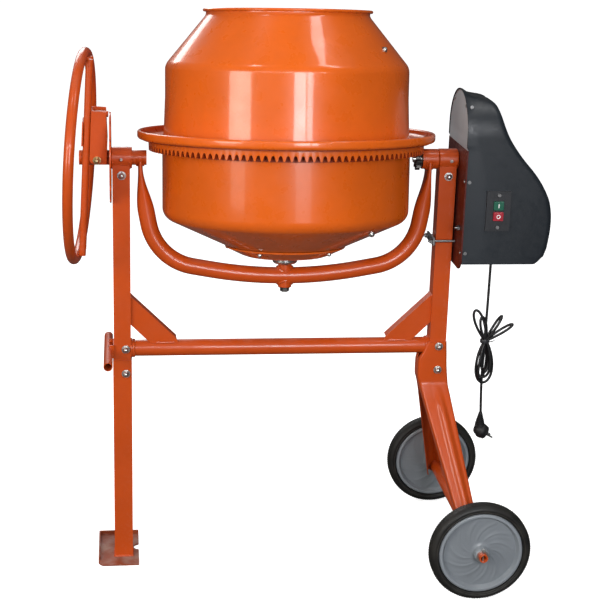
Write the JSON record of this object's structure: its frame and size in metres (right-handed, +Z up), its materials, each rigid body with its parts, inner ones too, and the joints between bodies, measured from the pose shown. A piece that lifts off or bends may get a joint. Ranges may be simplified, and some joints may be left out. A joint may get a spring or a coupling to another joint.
{
  "type": "concrete mixer",
  "caption": "Upright tilting-drum concrete mixer: a conical drum with a ring gear on a tilting yoke, a handwheel with a lock disc, an electric drive under a side cover, and transport wheels.",
  "frame": {"origin": "on the ground, under the middle of the left leg", "axes": "+X to the motor side along the tilting axis, -Y to the operator's side, +Z up"},
  "size_m": [1.1211, 0.6826, 1.3577],
  "materials": {
    "paint": "gloss paint",
    "zinc": "zinc plated",
    "yellow_zinc": "yellow zinc plated",
    "dark_steel": "blackened",
    "pulley_iron": "cast, machined grooves",
    "bush_bronze": "sintered bronze",
    "rubber": "matte",
    "tyre": "matte",
    "wheel_plastic": "satin moulding",
    "cover_plastic": "satin fine-grained moulding",
    "inner_plastic": "matte moulding",
    "tie": "matte",
    "green_button": "gloss",
    "red_button": "gloss"
  },
  "bodies": {
    "frame": {"left_upright": "paint", "right_upright": "paint", "crossbar": "paint", "corner_braces": "paint", "stand_leg": "paint", "foot_plate": "paint", "tow_handle": "paint", "wheel_fork": "paint", "axle": "paint", "axle_washers": "zinc", "cotter_pins": "zinc", "left_bearing_housing": "paint", "right_bearing_housing": "paint", "trunnion_bushes": "bush_bronze", "frame_bolts": "zinc", "grease_nipples": "zinc", "lock_disc": "paint", "drive_belt": "rubber", "motor_body": "dark_steel", "motor_bracket": "paint", "mounting_plate": "paint", "motor_fixings": "zinc", "inner_cover": "inner_plastic", "motor_cover": "cover_plastic", "cover_screws": "zinc", "switch_box": "cover_plastic", "power_cord": "rubber", "cord_gland": "rubber", "cord_tie": "tie", "plug": "rubber"},
    "yoke": {"tilt_shaft": "paint", "yoke_tube": "paint", "pinion_sleeve": "paint", "ball_bearings": "zinc", "pivot_housing": "paint", "hub_bolt": "yellow_zinc", "latch_spring": "zinc"},
    "drum": {"drum_lower": "paint", "drum_upper": "paint", "mouth_ring": "paint", "ring_gear": "paint", "mixing_blades": "paint", "blade_bolts": "zinc", "drum_bottom_plate": "paint", "drum_pivot_shaft": "zinc", "pivot_nut": "dark_steel"},
    "pinion": {"pinion_shaft": "zinc", "pinion_gear": "dark_steel", "drive_pulley": "pulley_iron"},
    "rotor": {"motor_rotor": "zinc", "motor_pulley": "pulley_iron"},
    "front_wheel": {"front_wheel_disc": "wheel_plastic", "front_tyre": "tyre"},
    "rear_wheel": {"rear_wheel_disc": "wheel_plastic", "rear_tyre": "tyre"},
    "handwheel": {"handwheel_ring": "paint", "handwheel_spokes": "paint", "handwheel_hub": "paint"},
    "start_button": {"start_button": "green_button"},
    "stop_button": {"stop_button": "red_button"}
  },
  "joints": [
    {"name": "drum_tilt", "type": "hinge", "parent": "frame", "child": "yoke", "pos_m": [0.38, 0, 1], "axis": [1, 0, 0], "range_deg": [-120, 120]},
    {"name": "drum_spin", "type": "hinge", "parent": "yoke", "child": "drum", "pos_m": [0.38, 0, 1], "axis": [0, 0.1167, 0.9932], "continuous": true},
    {"name": "pinion_spin", "type": "hinge", "parent": "yoke", "child": "pinion", "pos_m": [0.69, 0, 1], "axis": [1, 0, 0], "continuous": true},
    {"name": "motor_spin", "type": "hinge", "parent": "frame", "child": "rotor", "pos_m": [0.88, 0, 0.865], "axis": [1, 0, 0], "continuous": true},
    {"name": "front_wheel_spin", "type": "hinge", "parent": "frame", "child": "front_wheel", "pos_m": [0.83, -0.275, 0.121], "axis": [0, 1, 0], "continuous": true},
    {"name": "rear_wheel_spin", "type": "hinge", "parent": "frame", "child": "rear_wheel", "pos_m": [0.83, 0.275, 0.121], "axis": [0, 1, 0], "continuous": true},
    {"name": "latch_rock", "type": "hinge", "parent": "yoke", "child": "handwheel", "pos_m": [-0.054, 0, 1], "axis": [0, 1, 0], "range_deg": [0, 3]},
    {"name": "start_press", "type": "slide", "parent": "frame", "child": "start_button", "axis": [0, 1, 0], "range_m": [0, 0.003], "stiffness_N_per_m": 800},
    {"name": "stop_press", "type": "slide", "parent": "frame", "child": "stop_button", "axis": [0, 1, 0], "range_m": [0, 0.003], "stiffness_N_per_m": 800}
  ],
  "couplings": [
    {"joint": "pinion_spin", "follows": "drum_spin", "ratio": -14},
    {"joint": "motor_spin", "follows": "drum_spin", "ratio": -84}
  ]
}
